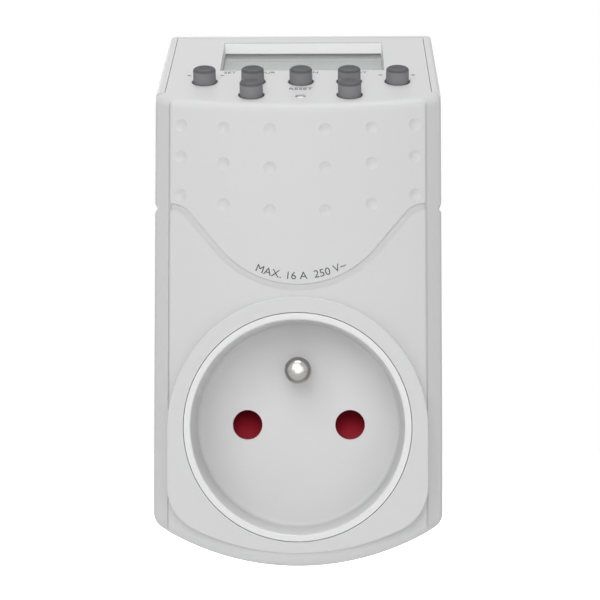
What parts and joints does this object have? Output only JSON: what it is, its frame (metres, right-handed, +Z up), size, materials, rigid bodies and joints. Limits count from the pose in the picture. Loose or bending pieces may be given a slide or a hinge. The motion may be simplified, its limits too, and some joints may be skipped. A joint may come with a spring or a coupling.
{
  "type": "plug in timer switch",
  "caption": "Plug-in digital timer switch with a sloping keypad and display panel, a shuttered round socket in front and a two-pin earthed plug behind.",
  "frame": {"origin": "middle of the wall plug's face, between the two line pins", "axes": "+X right seen from the front, +Y towards the wall along the pins, +Z up"},
  "size_m": [0.0518, 0.074, 0.1013],
  "materials": {
    "case_plastic": "fine moulded texture",
    "socket_plastic": "satin",
    "inner_plastic": "plain",
    "shutter_plastic": "satin",
    "button_plastic": "satin",
    "reset_plastic": "satin",
    "nickel": "turned, nickel plated",
    "brass": "rolled strip",
    "steel": "zinc plated",
    "board": "solder mask",
    "relay_plastic": "satin",
    "film_plastic": "satin",
    "sleeve_plastic": "shrunk sleeve",
    "varistor_coat": "dipped",
    "fuse_glass": "clear",
    "chip_resin": "poured",
    "mat_rubber": "matt",
    "display_glass": "reflective grey",
    "clear_window": "clear",
    "live_cover": "satin",
    "neutral_cover": "satin",
    "switched_cover": "satin",
    "ribbon_cover": "satin"
  },
  "bodies": {
    "case": {"front_cover": "case_plastic", "back_shell": "case_plastic", "plug_body": "case_plastic", "socket_cup": "socket_plastic", "contact_carrier": "inner_plastic", "pin_retainer": "inner_plastic", "lcd_frame": "inner_plastic", "line_pin_left": "nickel", "line_pin_right": "nickel", "socket_earth_pin": "nickel", "contact_sleeve_left": "brass", "contact_sleeve_right": "brass", "neutral_link": "brass", "earth_sleeve": "brass", "earth_bridge": "brass", "earth_clip_top": "brass", "earth_clip_bottom": "brass", "earth_strap": "brass", "case_screws": "steel", "carrier_screws": "steel", "logic_board_screws": "steel", "power_board_screws": "steel", "shutter_spring": "steel", "backup_battery": "steel", "battery_tabs": "steel", "crystal": "steel", "power_board": "board", "logic_board": "board", "relay": "relay_plastic", "film_capacitor": "film_plastic", "electrolytic_capacitor": "sleeve_plastic", "varistor": "varistor_coat", "fuse": "fuse_glass", "chip_blob": "chip_resin", "diodes": "chip_resin", "keypad_mat": "mat_rubber", "zebra_strips": "mat_rubber", "contact_pills": "mat_rubber", "lcd_glass": "display_glass", "display_lens": "clear_window", "live_wire": "live_cover", "neutral_wire": "neutral_cover", "switched_wire": "switched_cover", "ribbon_cable": "ribbon_cover"},
    "button_rear_1_body": {"button_rear_1": "button_plastic"},
    "button_rear_2_body": {"button_rear_2": "button_plastic"},
    "button_rear_3_body": {"button_rear_3": "button_plastic"},
    "button_rear_4_body": {"button_rear_4": "button_plastic"},
    "button_rear_5_body": {"button_rear_5": "button_plastic"},
    "button_front_1_body": {"button_front_1": "button_plastic"},
    "button_front_2_body": {"button_front_2": "button_plastic"},
    "reset_plunger_body": {"reset_plunger": "reset_plastic"},
    "shutter_body": {"shutter": "shutter_plastic"}
  },
  "joints": [
    {"name": "button_rear_1_press", "type": "slide", "parent": "case", "child": "button_rear_1_body", "axis": [0, 0.5, -0.866], "range_m": [0, 0.0008], "stiffness_N_per_m": 900, "springref_m": -0.0004, "deforming": ["keypad_mat"]},
    {"name": "button_rear_2_press", "type": "slide", "parent": "case", "child": "button_rear_2_body", "axis": [0, 0.5, -0.866], "range_m": [0, 0.0008], "stiffness_N_per_m": 900, "springref_m": -0.0004, "deforming": ["keypad_mat"]},
    {"name": "button_rear_3_press", "type": "slide", "parent": "case", "child": "button_rear_3_body", "axis": [0, 0.5, -0.866], "range_m": [0, 0.0008], "stiffness_N_per_m": 900, "springref_m": -0.0004, "deforming": ["keypad_mat"]},
    {"name": "button_rear_4_press", "type": "slide", "parent": "case", "child": "button_rear_4_body", "axis": [0, 0.5, -0.866], "range_m": [0, 0.0008], "stiffness_N_per_m": 900, "springref_m": -0.0004, "deforming": ["keypad_mat"]},
    {"name": "button_rear_5_press", "type": "slide", "parent": "case", "child": "button_rear_5_body", "axis": [0, 0.5, -0.866], "range_m": [0, 0.0008], "stiffness_N_per_m": 900, "springref_m": -0.0004, "deforming": ["keypad_mat"]},
    {"name": "button_front_1_press", "type": "slide", "parent": "case", "child": "button_front_1_body", "axis": [0, 0.5, -0.866], "range_m": [0, 0.0008], "stiffness_N_per_m": 900, "springref_m": -0.0004, "deforming": ["keypad_mat"]},
    {"name": "button_front_2_press", "type": "slide", "parent": "case", "child": "button_front_2_body", "axis": [0, 0.5, -0.866], "range_m": [0, 0.0008], "stiffness_N_per_m": 900, "springref_m": -0.0004, "deforming": ["keypad_mat"]},
    {"name": "reset_plunger_press", "type": "slide", "parent": "case", "child": "reset_plunger_body", "axis": [0, 0.5, -0.866], "range_m": [0, 0.0008], "stiffness_N_per_m": 900, "springref_m": -0.0004, "deforming": ["keypad_mat"]},
    {"name": "shutter_slide", "type": "slide", "parent": "case", "child": "shutter_body", "axis": [0, 0, -1], "range_m": [0, 0.0066], "stiffness_N_per_m": 120, "springref_m": -0.002, "deforming": ["shutter_spring"]}
  ]
}
